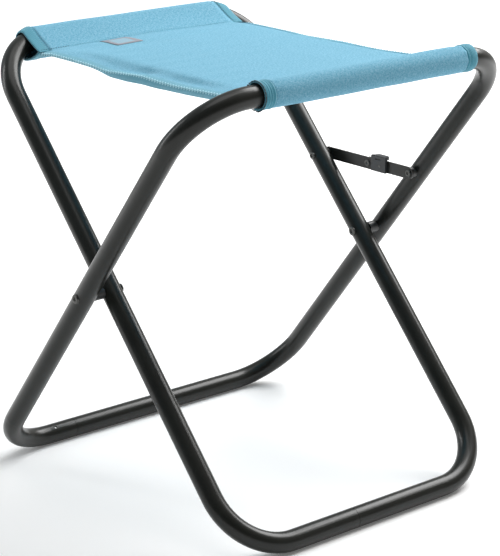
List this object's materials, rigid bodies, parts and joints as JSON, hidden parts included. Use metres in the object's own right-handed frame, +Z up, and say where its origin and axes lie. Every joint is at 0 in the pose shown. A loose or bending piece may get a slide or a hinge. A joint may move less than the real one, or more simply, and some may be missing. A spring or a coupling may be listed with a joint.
{
  "type": "folding camp stool",
  "caption": "Folding camp stool with two crossed tube frames, a folding side brace with a thumb tab, and a padded fabric sling seat.",
  "frame": {"origin": "on the floor, under the two pivot rivets, half way between the left and right legs", "axes": "+Z up from the floor; +X from the back rail (inner frame) towards the front rail (outer frame); +Y along the rails towards the legs that carry the folding brace"},
  "size_m": [0.447, 0.4364, 0.4823],
  "materials": {
    "frame_coat": "smooth anthracite powder coat, soft gloss",
    "brace_coat": "anthracite coat on flat steel bar, satin",
    "bare_steel": "plain drawn steel",
    "rivet_steel": "dark coated rivet, worn bright at the rim",
    "black_plastic": "matt moulded",
    "tab_plastic": "fine matt moulded",
    "seat_fabric": "melange plain-weave polyester",
    "trim_tape": "ribbed binding tape",
    "seat_foam": "soft foam sheet",
    "label_print": "plain matt printed patch"
  },
  "bodies": {
    "outer_frame": {"outer_frame_tube": "frame_coat", "outer_frame_joiner": "bare_steel", "left_pivot_rivet": "rivet_steel", "right_pivot_rivet": "rivet_steel", "left_pivot_spacer": "black_plastic", "right_pivot_spacer": "black_plastic", "brace_front_rivet": "rivet_steel", "brace_front_spacer": "black_plastic", "seat_top_panel": "seat_fabric", "seat_padding": "seat_foam", "seat_under_panel": "seat_fabric", "left_edge_binding": "trim_tape", "right_edge_binding": "trim_tape", "seat_label": "label_print", "front_rail_sleeve": "seat_fabric", "front_sleeve_left_hem": "trim_tape", "front_sleeve_right_hem": "trim_tape"},
    "inner_frame": {"inner_frame_tube": "frame_coat", "inner_frame_joiner": "bare_steel", "brace_back_rivet": "rivet_steel", "brace_back_washer": "rivet_steel", "back_rail_sleeve": "seat_fabric", "back_sleeve_left_hem": "trim_tape", "back_sleeve_right_hem": "trim_tape"},
    "long_arm": {"brace_long_arm": "brace_coat", "brace_middle_rivet": "rivet_steel", "thumb_tab": "tab_plastic", "thumb_tab_rivet": "rivet_steel"},
    "short_arm": {"brace_short_arm": "brace_coat", "brace_middle_rivet_tail": "rivet_steel"}
  },
  "joints": [
    {"name": "frame_fold", "type": "hinge", "parent": "outer_frame", "child": "inner_frame", "pos_m": [0, 0, 0.2395], "axis": [0, 1, 0], "range_deg": [0, 74], "deforming": ["seat_top_panel", "seat_padding", "seat_under_panel", "left_edge_binding", "right_edge_binding", "seat_label"]},
    {"name": "long_arm_hinge", "type": "hinge", "parent": "inner_frame", "child": "long_arm", "pos_m": [-0.06967, 0.186, 0.315], "axis": [0, 1, 0], "range_deg": [-95.7, 0]},
    {"name": "short_arm_hinge", "type": "hinge", "parent": "outer_frame", "child": "short_arm", "pos_m": [0.06335, 0.188, 0.315], "axis": [0, 1, 0], "range_deg": [0, 145.1]}
  ],
  "couplings": [
    {"joint": "long_arm_hinge", "follows": "frame_fold", "ratio": -1.292},
    {"joint": "short_arm_hinge", "follows": "frame_fold", "ratio": 1.9589}
  ]
}
